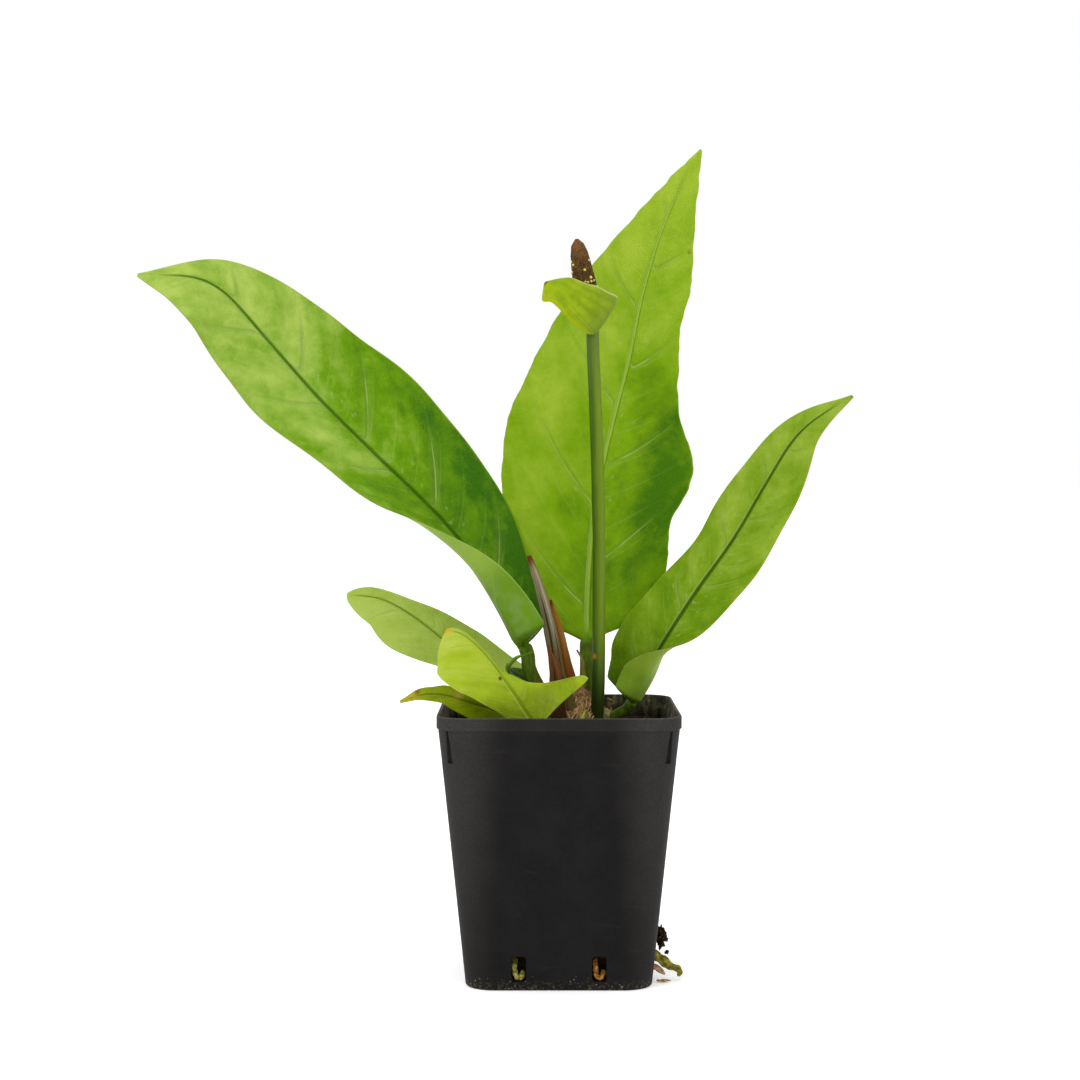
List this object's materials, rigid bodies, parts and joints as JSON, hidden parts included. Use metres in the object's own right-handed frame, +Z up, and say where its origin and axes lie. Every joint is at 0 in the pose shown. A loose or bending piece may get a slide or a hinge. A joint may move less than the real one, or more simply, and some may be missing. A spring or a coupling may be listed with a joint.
{
  "type": "potted plant",
  "caption": "Flamingo flower plant with long tapering leaves, a green spathe and a brown spadix, growing in a square tapered nursery pot with drainage slots.",
  "frame": {"origin": "centre of the pot's underside, on the floor", "axes": "+Z up along the plant's height, -Y to the front of the pot, +X to the right seen from the front"},
  "size_m": [0.2653, 0.09, 0.3172],
  "materials": {
    "pot_plastic": "matte, near-black charcoal, dusty at the collar",
    "potting_mix": "dark crumbly bark and peat mix",
    "rhizome_bark": "dry fibrous bark",
    "leaf_green": "semi-gloss leaf, mid green with paler veins",
    "leaf_pale": "semi-gloss leaf, light yellow-green",
    "leaf_olive": "semi-gloss, olive, ageing",
    "spathe_lime": "semi-gloss, lime green",
    "spadix_brown": "matte, brown with yellow dots",
    "sheath_straw": "dry papery sheath, straw grey",
    "sheath_dark": "dry papery sheath, dark brown",
    "sheath_orange": "dry papery sheath, orange brown",
    "root_tan": "matte root, tan"
  },
  "bodies": {
    "root": {"pot": "pot_plastic", "potting_mix": "potting_mix", "rhizome": "rhizome_bark", "leaf_tall": "leaf_green", "leaf_left": "leaf_green", "leaf_right": "leaf_green", "leaf_small": "leaf_green", "leaf_low_left": "leaf_pale", "leaf_front": "leaf_pale", "leaf_rim": "leaf_olive", "peduncle": "leaf_green", "spathe": "spathe_lime", "spadix": "spadix_brown", "sheath_inner": "sheath_straw", "sheath_outer": "sheath_orange", "sheath_short": "sheath_dark", "sheath_thin": "sheath_straw", "bud": "leaf_pale", "shoot": "spathe_lime", "aerial_root": "root_tan", "root_slot_left": "root_tan", "root_slot_right": "root_tan", "root_side_upper": "leaf_olive", "root_side_lower": "root_tan", "root_remnant": "rhizome_bark", "mix_clump": "potting_mix", "mix_crumb": "potting_mix"}
  },
  "joints": []
}
